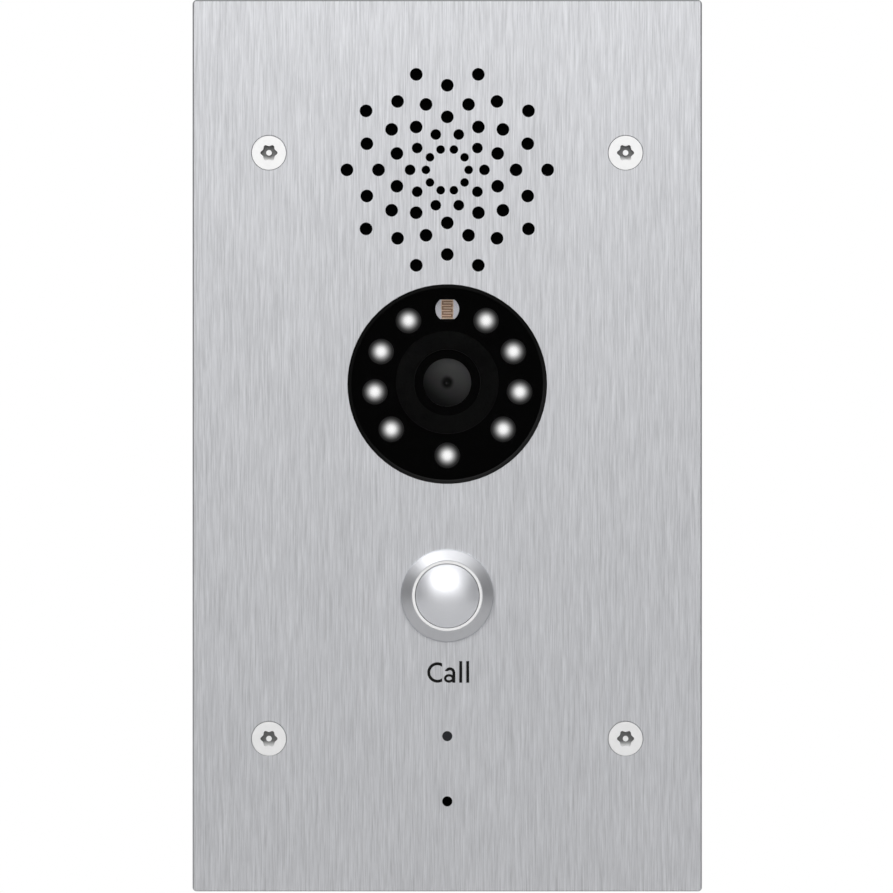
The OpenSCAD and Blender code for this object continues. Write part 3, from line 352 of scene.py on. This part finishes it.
def cloth(value):
    """A plain weave: two crossed sets of threads."""
    def build(g):
        x, _, z = g.xyz(per_m=THREADS_PER_M)
        waves = [g.maths("SINE", g.maths("MULTIPLY", along, math.pi)) for along in (x, z)]
        weave = g.maths("ABSOLUTE", g.maths("MULTIPLY", *waves))
        return {
            "Base Color": g.mix(weave, grey(value * 0.3), grey(value)),
            "Roughness": 0.95,
            "Specular IOR Level": 0.1,
            "Normal": g.bump(weave, 0.06 * MM, 0.7),
        }
    return build


def paper_cone(g):
    """Black fibrous paper."""
    fibre = g.noise(1500, detail=5.0, roughness=0.7)
    return {
        "Base Color": g.mix(fibre, grey(0.02), grey(0.05)),
        "Roughness": 0.9,
        "Normal": g.bump(fibre, 0.05 * MM, 0.7),
    }


def sleeved_leads(g):
    """Red sleeving, in two close shades that change across the panel's width."""
    x, _, _ = g.xyz(per_m=300)
    tone = g.noise(900)
    band = g.maths("GREATER_THAN", g.maths("FRACT", x), 0.5)
    red, deep_red = (0.35, 0.02, 0.015, 1.0), (0.2, 0.01, 0.01, 1.0)
    return {
        "Base Color": g.mix(g.maths("MULTIPLY", band, 0.2), red, deep_red),
        "Roughness": g.remap(tone, 0.3, 0.7, 0.42, 0.55),
        "Normal": g.bump(tone, 0.01 * MM, 0.4),
    }


CONDUCTORS_PER_M = 1000


def amber_film(g):
    """Flat cable: amber film with a row of conductors showing through."""
    x, _, _ = g.xyz(per_m=2 * math.pi * CONDUCTORS_PER_M)
    lines = g.remap(g.maths("SINE", x), -0.2, 0.2)
    return {
        "Base Color": g.mix(lines, (0.42, 0.2, 0.03, 1.0), (0.66, 0.36, 0.08, 1.0)),
        "Roughness": 0.25,
        "Coat Weight": 0.5,
        "Normal": g.bump(lines, 0.02 * MM, 0.5),
    }


def label_film(g):
    """Silver polyester label with a printed border and blank fields, and no writing."""
    border_inset, border_half_w = 1.4 * MM, 0.15 * MM
    row_h, rule_half_w, rule_inset = 2.1 * MM, 0.09 * MM, 3 * MM
    low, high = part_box("rating_label")
    half = (high - low) / 2
    x, _, z = g.xyz(middle("rating_label"))
    inset_x = g.maths("SUBTRACT", half.x, g.maths("ABSOLUTE", x))
    inset_z = g.maths("SUBTRACT", half.z, g.maths("ABSOLUTE", z))
    inset = g.maths("MINIMUM", inset_x, inset_z)
    from_border = g.maths("ABSOLUTE", g.maths("SUBTRACT", inset, border_inset))
    border = g.maths("LESS_THAN", from_border, border_half_w)
    row = g.maths("PINGPONG", g.maths("ADD", z, row_h), row_h)
    rule = g.maths("MULTIPLY", g.maths("LESS_THAN", row, rule_half_w),
                   g.maths("GREATER_THAN", inset, rule_inset))
    ink = g.maths("MAXIMUM", border, rule)
    foil = g.noise((300, 300, 4200))
    silver = g.mix(foil, grey(0.62), grey(0.74))
    return {
        "Base Color": g.mix(ink, silver, grey(0.03)),
        "Metallic": g.remap(ink, 0.0, 1.0, 0.55, 0.0),
        "Roughness": g.remap(foil, 0.3, 0.7, 0.36, 0.44),
        "Normal": g.bump(foil, 0.004 * MM, 0.3),
    }


# ------------------------------------------------------------------ window, lens and lights

def window_glass(g):
    """Clear acrylic with a black border, with a painted highlight that makes the border greyer below
    right.
    """
    dust = g.noise(900, detail=5.0, roughness=0.7)
    clear = g.mix(g.remap(dust, 0.3, 0.7), grey(1.0), grey(0.97))
    rim = g.maths("GREATER_THAN", g.radius(WINDOW_AXIS), WINDOW_R - BORDER_W)
    x, _, z = g.xyz(WINDOW_AXIS)
    # Painted highlight: the border is greyer towards the lower right.
    painted_light_slope = g.maths("SUBTRACT", g.maths("MULTIPLY", x, 0.5), z)
    border = g.mix(g.remap(painted_light_slope, 0.0, WINDOW_R), grey(0.0015), grey(0.02))
    return {
        "Base Color": g.mix(rim, clear, border),
        "Transmission Weight": g.maths("SUBTRACT", 1.0, rim),
        "Roughness": g.maths("MULTIPLY", rim, 0.9),
        "IOR": 1.49,
        "Specular IOR Level": 0.1,
    }


def lens_glass(g):
    """A coated front element: a dark disc with a painted reflection that makes it lighter up and to the
    right, and a black pupil of painted shade.
    """
    pupil_r, pupil_edge_r = 0.6 * MM, 1.6 * MM
    dark_side, light_side = -4.5 * MM, 5.0 * MM
    x, _, z = g.xyz(LENS_AXIS)
    # The pupil is painted shade: a black disc standing in for the dark inside of the lens.
    pupil = g.remap(g.radius(LENS_AXIS), pupil_r, pupil_edge_r, smooth=True)
    # Painted reflection: the disc is lighter up and to the right.
    painted_light_slope = g.maths("ADD", g.maths("MULTIPLY", x, 0.7), z)
    swirl = g.noise(700)
    body = g.mix(g.remap(painted_light_slope, dark_side, light_side), grey(0.011), grey(0.10))
    return {
        "Base Color": g.mix(pupil, grey(0.0007), body),
        "Roughness": g.remap(swirl, 0.3, 0.7, 0.3, 0.36),
        "Specular IOR Level": 0.06,
    }


# How bright a lit lamp is, at shares of the way out from its axis
LAMP_GLOW_R = 2.5 * MM
LAMP_GLOW = [(0.0, 1.06), (0.15, 1.02), (0.25, 0.93), (0.35, 0.75), (0.45, 0.51), (0.55, 0.31),
             (0.65, 0.175), (0.75, 0.08), (0.85, 0.033), (0.95, 0.016), (1.0, 0.008)]


def lamp_epoxy(g):
    """A lit lamp: white at its middle, fading to a dark rim."""
    share = g.maths("DIVIDE", g.radius((0, 0, 0)), LAMP_GLOW_R)
    peak = LAMP_GLOW[0][1]
    cloud = g.noise(1400)
    return {
        "Base Color": g.mix(cloud, grey(0.004), grey(0.007)),
        "Roughness": 0.35,
        "Specular IOR Level": 0.08,
        "Emission Color": g.ramp(share, [(place, grey(value / peak)) for place, value in LAMP_GLOW]),
        "Emission Strength": peak,
    }


def sensor_cell(g):
    """Pale ceramic, with a tan photoconductive band down its middle and a faint painted glow."""
    band_half_w, band_edge = 1.25 * MM, 1.4 * MM
    tone = g.noise(1500, detail=3.0)
    x, _, _ = g.xyz(middle("light_sensor"))
    wander = g.maths("MULTIPLY", tone, 0.3 * MM)
    aside = g.maths("ADD", g.maths("ABSOLUTE", x), wander)
    band = g.remap(aside, band_half_w, band_edge, 1.0, 0.0)
    ceramic = g.mix(tone, (0.86, 0.86, 0.94, 1.0), (0.95, 0.95, 1.0, 1.0))
    tan = g.mix(tone, (0.84, 0.63, 0.47, 1.0), (0.96, 0.76, 0.58, 1.0))
    return {
        "Base Color": g.mix(band, ceramic, tan),
        # Painted glow: the cell gives off a faint light in its own colours, which brightens it.
        "Emission Color": g.mix(band, ceramic, tan),
        "Emission Strength": 0.07,
        "Roughness": 0.35,
        "Normal": g.bump(tone, 0.01 * MM, 0.3),
    }


def sensor_track(g):
    """The brown track across the light sensor."""
    tone = g.noise(2600, detail=3.0)
    return {
        "Base Color": g.mix(tone, (0.38, 0.21, 0.13, 1.0), (0.48, 0.28, 0.18, 1.0)),
        "Roughness": 0.42,
        "Normal": g.bump(tone, 0.01 * MM, 0.3),
    }


def light_ring(g):
    """Milky white plastic with a faint painted glow of its own, which brightens it."""
    tone = g.noise(1200)
    return {
        "Base Color": g.mix(tone, grey(0.84), grey(0.88)),
        "Roughness": 0.5,
        "Specular IOR Level": 0.2,
        # Painted glow, which brightens the ring.
        "Emission Color": (0.98, 0.99, 1.0, 1.0),
        "Emission Strength": g.remap(tone, 0.3, 0.7, 0.03, 0.05),
    }


def light_pipe(g):
    """The dark smoked end of the status light's pipe."""
    tone = g.noise(1500)
    return {
        "Base Color": g.mix(tone, (0.012, 0.0125, 0.016, 1.0), (0.020, 0.021, 0.025, 1.0)),
        "Roughness": 0.32,
        "Specular IOR Level": 0.2,
    }


# ------------------------------------------------------------------ circuit boards

def circuit_board(g):
    """Glossy green solder mask, paler along the copper tracks under it."""
    x, _, z = g.xyz(per_m=420)
    flat = g.node("CombineXYZ", {0: x, 1: z}).outputs[0]
    brick_inputs = {"Vector": flat, "Color1": grey(0.0), "Color2": grey(0.2), "Mortar": grey(1.0),
                    "Scale": 1.0, "Mortar Size": 0.06}
    tracks = g.node("TexBrick", brick_inputs).outputs["Color"]
    tone = g.noise(160, detail=3.0)
    mask = g.mix(tone, (0.008, 0.085, 0.035, 1.0), (0.012, 0.12, 0.05, 1.0))
    over_copper = (0.03, 0.24, 0.11, 1.0)
    return {
        "Base Color": g.mix(g.maths("MULTIPLY", tracks, 0.55), mask, over_copper),
        "Roughness": g.remap(tone, 0.3, 0.7, 0.28, 0.4),
        "Coat Weight": 0.3,
        "Normal": g.bump(tracks, 0.03 * MM, 0.4),
    }


# ------------------------------------------------------------------ the finish of each material slot

FINISHES = {
    "brushed_plate": brushed_plate,
    "bright_screw": screw_steel,
    "zinc_steel": blasted(0.62, 0.3),
    "black_rubber": moulded(grey(0.012), 0.72, scale=1800, depth=0.03, specular=0.3),
    "grey_foam": foam(0.016),
    "nylon": moulded((0.78, 0.76, 0.68, 1.0), 0.45),
    "black_enamel": enamel,
    "speaker_cloth": cloth(0.006),
    "moulded_grey": moulded((0.045, 0.047, 0.050, 1.0), 0.5, scale=1700, depth=0.035),
    "moulded_black": moulded((0.0005, 0.0005, 0.0006, 1.0), 0.7, specular=0.0),
    "driver_steel": blasted(0.3, 0.4),
    "cone_paper": paper_cone,
    "ferrite": blasted(0.06, 0.7, metallic=0.0, depth=0.03),
    "smoked_window": window_glass,
    "lamp": lamp_epoxy,
    "sensor_cell": sensor_cell,
    "sensor_track": sensor_track,
    "lens_metal": moulded((0.0012, 0.0012, 0.0013, 1.0), 0.6, scale=3800, depth=0.008, specular=0.0),
    "lens_glass": lens_glass,
    "sensor_chip": moulded((0.02, 0.025, 0.04, 1.0), 0.2),
    "circuit_board": circuit_board,
    "flat_cable": amber_film,
    "bezel_steel": turned(BUTTON_AXIS, 0.74, 0.36),
    "cap_steel": turned(BUTTON_AXIS, 0.97, 0.47, anisotropic=0.15, rings=3200, spread=0.03),
    "diffuser": light_ring,
    "spring_steel": blasted(0.5, 0.3),
    "contact_gold": gold,
    "light_pipe": light_pipe,
    "tin_can": blasted(0.66, 0.34),
    "jack_grey": moulded((0.035, 0.035, 0.038, 1.0), 0.35, scale=3000, depth=0.01),
    "terminal_green": moulded((0.02, 0.2, 0.075, 1.0), 0.42),
    "label_film": label_film,
    "lead_sleeve": sleeved_leads,
}

# Nodes that look different from the rest of their slot
OWN_FINISHES = {
    "microphone": cloth(0.004),
    "led_board": enamel,
    "light_shield": foam(0.003),
    "tamper_plunger": moulded(grey(0.03), 0.38),
}


def finish_cad_nodes():
    """Gives every CAD node the finish of its material slot, or its own."""
    made = {slot: material(slot, build) for slot, build in FINISHES.items()}
    own = {node: material(node, build) for node, build in OWN_FINISHES.items()}
    for entry in frame["record"]["subparts"]:
        slots = NODES[entry["node"]].data.materials
        slots.clear()
        slots.append(own.get(entry["node"], made[entry["material_slot"]]))
    return made


# ------------------------------------------------------------------ edges and shading of CAD nodes

SAME_POINT = 1e-6
SHARP_BEVEL = math.radians(35)
SHARP_SHADE = math.radians(30)


def weld(node):
    """Joins the corners that a CAD node's triangles share."""
    NODES[node].modifiers.new("weld", "WELD").merge_threshold = SAME_POINT


def round_edges(node, width, segments=2):
    """Breaks a CAD node's sharp edges, as moulding or deburring does."""
    weld(node)
    bevel = NODES[node].modifiers.new("bevel", "BEVEL")
    bevel.width = width
    bevel.segments = segments
    bevel.limit_method = "ANGLE"
    bevel.angle_limit = SHARP_BEVEL
    bevel.harden_normals = True


def fresh_normals(node):
    """Shades a CAD node by its own surface, with a sharp break at each edge."""
    weld(node)
    NODES[node].modifiers.new("split", "EDGE_SPLIT").split_angle = SHARP_SHADE
    NODES[node].modifiers.new("weighted", "WEIGHTED_NORMAL")


# ------------------------------------------------------------------ pieces made here

def new_piece(name, build, location=(0, 0, 0)):
    """A smooth-shaded mesh object, whose skin build adds to a bmesh."""
    mesh = bpy.data.meshes.new(name)
    shape = bmesh.new()
    build(shape)
    bmesh.ops.recalc_face_normals(shape, faces=shape.faces)
    shape.to_mesh(mesh)
    shape.free()
    mesh.polygons.foreach_set("use_smooth", [True] * len(mesh.polygons))
    piece = bpy.data.objects.new(name, mesh)
    piece.location = location
    SCENE.collection.objects.link(piece)
    return piece


def spin_profile(shape, profile, steps):
    """Turns (radius, y) points round the Y axis into a closed skin. The end points lie on the axis."""
    angles = [2 * math.pi * k / steps for k in range(steps)]
    rings = []
    for radius, y in profile:
        if radius == 0:
            rings.append([shape.verts.new((0, y, 0))])
            continue
        rings.append([shape.verts.new((radius * math.cos(a), y, radius * math.sin(a))) for a in angles])
    for first, second in zip(rings, rings[1:]):
        for k in range(steps):
            corners = [first[k % len(first)], first[(k + 1) % len(first)],
                       second[(k + 1) % len(second)], second[k % len(second)]]
            shape.faces.new(list(dict.fromkeys(corners)))


def connected(start, left):
    """Takes the points joined to start out of the set left, and gives their places."""
    todo, places = [start], []
    while todo:
        vertex = todo.pop()
        places.append(vertex.co.copy())
        for edge in vertex.link_edges:
            other = edge.other_vert(vertex)
            if other in left:
                left.remove(other)
                todo.append(other)
    return places


def lamp_centres():
    """The x and z of each lamp's axis, from the separate solids of their CAD node."""
    shape = bmesh.new()
    shape.from_mesh(NODES["illumination_leds"].data)
    bmesh.ops.remove_doubles(shape, verts=shape.verts, dist=SAME_POINT)
    left, centres = set(shape.verts), []
    while left:
        places = connected(left.pop(), left)
        low = Vector([min(co[i] for co in places) for i in range(3)])
        high = Vector([max(co[i] for co in places) for i in range(3)])
        centres.append(((low.x + high.x) / 2, (low.z + high.z) / 2))
    shape.free()
    return sorted(centres)


LAMP_FLANGE_R = 2.88 * MM
LAMP_FLANGE_T = 1.0 * MM
LAMP_DOME_R = 2.48 * MM
DOME_STEPS = 10
LAMP_SIDES = 40


def lamp_profile(depth):
    """Half the outline of a lamp, from the middle of its back to the top of its dome at y = 0."""
    flange_front = depth - LAMP_FLANGE_T
    profile = [(0, depth), (LAMP_FLANGE_R, depth), (LAMP_FLANGE_R, flange_front),
               (LAMP_DOME_R, flange_front), (LAMP_DOME_R, LAMP_DOME_R)]
    for k in range(1, DOME_STEPS):
        angle = math.pi / 2 * k / DOME_STEPS
        profile.append((LAMP_DOME_R * math.cos(angle), LAMP_DOME_R - LAMP_DOME_R * math.sin(angle)))
    return profile + [(0, 0.0)]


def make_lamps(finish):
    """Lamp domes with a flange, each with its own axis so that its light fades from its middle."""
    low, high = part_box("illumination_leds")
    profile = lamp_profile(high.y - low.y)
    for number, (x, z) in enumerate(lamp_centres(), start=1):
        piece = new_piece(f"lamp_{number}", lambda shape: spin_profile(shape, profile, LAMP_SIDES),
                          (x, low.y, z))
        piece.data.materials.append(finish)
        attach(piece, "panel")
        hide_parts("illumination_leds")


CLOSED_TURNS = 0.75
CLOSED_PITCH = 2.05  # in wire radii, so that closed turns all but touch
WIRE_SIDES = 10
STEPS_PER_TURN = 28


def coil_rise(turn, turns, wire_r, length):
    """Height of a coil's centre line. Each end has CLOSED_TURNS that lie close together."""
    pitch = CLOSED_PITCH * wire_r
    first, last = wire_r + CLOSED_TURNS * pitch, length - wire_r - CLOSED_TURNS * pitch
    if turn < CLOSED_TURNS:
        return wire_r + turn * pitch
    if turn > turns - CLOSED_TURNS:
        return length - wire_r - (turns - turn) * pitch
    return first + (last - first) * (turn - CLOSED_TURNS) / (turns - 2 * CLOSED_TURNS)


def coil(shape, radius, wire_r, length, turns):
    """A wire coil along Y from 0 to length, with closed ends."""
    around = [2 * math.pi * k / WIRE_SIDES for k in range(WIRE_SIDES)]
    along = Vector((0, 1, 0))
    rings = []
    for i in range(turns * STEPS_PER_TURN + 1):
        turn = i / STEPS_PER_TURN
        angle = 2 * math.pi * turn
        out = Vector((math.cos(angle), 0, math.sin(angle)))
        centre = out * radius + along * coil_rise(turn, turns, wire_r, length)
        spokes = [math.cos(a) * out + math.sin(a) * along for a in around]
        rings.append([shape.verts.new(centre + wire_r * spoke) for spoke in spokes])
    for first, second in zip(rings, rings[1:]):
        for k in range(WIRE_SIDES):
            after = (k + 1) % WIRE_SIDES
            shape.faces.new((first[k], first[after], second[after], second[k]))
    shape.faces.new(rings[0])
    shape.faces.new(rings[-1])


def make_spring(node, wire_r, turns, finish):
    """A round-wire coil in place of a CAD spring."""
    low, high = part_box(node)
    length = high.y - low.y
    radius = (high.x - low.x) / 2 - wire_r
    centre = (low + high) / 2
    piece = new_piece(node + "_coil", lambda shape: coil(shape, radius, wire_r, length, turns),
                      (centre.x, low.y, centre.z))
    piece.data.materials.append(finish)
    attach(piece, "panel")
    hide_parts(node)
    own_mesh(piece)


# ------------------------------------------------------------------ floor

FLOOR_DROP = 0.10
FLOOR_R = 6.0
FLOOR_SIDES = 96
FADE_FROM, FADE_TO = 0.35, 0.95  # how far out the floor begins to turn white, and is white


def make_floor():
    """A pale round floor, which fades into the white room and sends less light up than it shows."""
    def build(shape):
        bmesh.ops.create_circle(shape, cap_ends=True, radius=FLOOR_R, segments=FLOOR_SIDES)
    floor = new_piece("floor", build, (0, 0, PLATE_LOW.z - FLOOR_DROP))
    made = bpy.data.materials.new("pale_floor")
    made.use_nodes = True
    g = Graph(made.node_tree)
    grain = g.noise(60, detail=3.0)
    camera_ray = g.node("LightPath").outputs["Is Camera Ray"]
    pale = g.mix(grain, grey(0.80), grey(0.84))
    matt = g.node("BsdfDiffuse", {"Color": g.mix(camera_ray, grey(0.50), pale)})
    white = g.node("Emission", {"Color": grey(1.0), "Strength": 1.0})
    far = g.remap(g.radius((0, 0, 0), across="XY"), FADE_FROM, FADE_TO, smooth=True)
    seen = g.maths("MULTIPLY", far, camera_ray)
    mixed = g.node("MixShader", {0: seen, 1: matt.outputs[0], 2: white.outputs[0]})
    g.node("OutputMaterial", {"Surface": mixed.outputs[0]})
    floor.data.materials.append(made)


# ------------------------------------------------------------------ light

# Brightness of the room at heights from straight down, 0, to straight up, 1
ROOM_LIGHT = [(0.0, 0.90), (0.33, 1.04), (0.5, 1.09), (0.65, 1.0), (1.0, 0.60)]

# Flags to the left and right, which shade the flanks of turned parts
FLAG_FROM, FLAG_TO = 0.42, 0.85
FLAG_LIGHT = 0.16

# A dark gap straight ahead of the panel, which keeps the black window black
GAP_FROM, GAP_TO = math.radians(7), math.radians(3.5)
GAP_LIGHT = 0.02


def make_world():
    """A room that is pure white to the camera and a soft studio to everything else."""
    world = bpy.data.worlds.new("studio")
    SCENE.world = world
    world.use_nodes = True
    g = Graph(world.node_tree)
    direction = g.node("SeparateXYZ", {0: g.node("TexCoord").outputs["Generated"]})
    height = g.remap(direction.outputs["Z"], -1.0, 1.0)
    lift = g.ramp(height, [(place, grey(value)) for place, value in ROOM_LIGHT])
    aside = g.maths("ABSOLUTE", direction.outputs["X"])
    flags = g.remap(aside, FLAG_FROM, FLAG_TO, smooth=True)
    room = g.mix(flags, lift, grey(FLAG_LIGHT))
    ahead = g.maths("MULTIPLY", direction.outputs["Y"], -1.0)
    gap = g.remap(ahead, math.cos(GAP_FROM), math.cos(GAP_TO), smooth=True)
    studio = g.mix(gap, room, grey(GAP_LIGHT))
    camera_ray = g.node("LightPath").outputs["Is Camera Ray"]
    colour = g.mix(camera_ray, studio, grey(1.0))
    background = g.node("Background", {"Color": colour, "Strength": 1.0})
    g.node("OutputWorld", {"Surface": background.outputs[0]})


AIM = Vector((0, 0, 0))

# Name, place, width and height in metres, and power in watts
AREA_LIGHTS = [
    ("key", (-0.11, -0.64, 0.56), (0.66, 0.40), 3.3),
    ("top", (0, 0.05, 0.9), (0.9, 0.5), 0.8),
    ("back", (0.3, 1.2, 0.6), (0.9, 0.7), 7.0),
]


def make_lights():
    """Soft boxes that all face the middle of the panel."""
    for name, place, size, power in AREA_LIGHTS:
        data = bpy.data.lights.new(name, "AREA")
        data.shape = "RECTANGLE"
        data.size, data.size_y = size
        data.energy = power
        lamp = bpy.data.objects.new(name, data)
        lamp.location = place
        lamp.rotation_euler = (AIM - Vector(place)).to_track_quat("-Z", "Y").to_euler()
        SCENE.collection.objects.link(lamp)


# ------------------------------------------------------------------ build

make_camera()
finishes = finish_cad_nodes()
make_lamps(finishes["lamp"])
make_spring("button_spring", wire_r=0.25 * MM, turns=4,
            finish=finishes["spring_steel"])
make_spring("tamper_spring", wire_r=0.3 * MM, turns=4,
            finish=finishes["spring_steel"])
fresh_normals("button_cap")
round_edges("rear_cover", 0.5 * MM, segments=3)
round_edges("network_jack", 0.2 * MM)
round_edges("terminal_block", 0.15 * MM)
make_floor()
make_world()
make_lights()
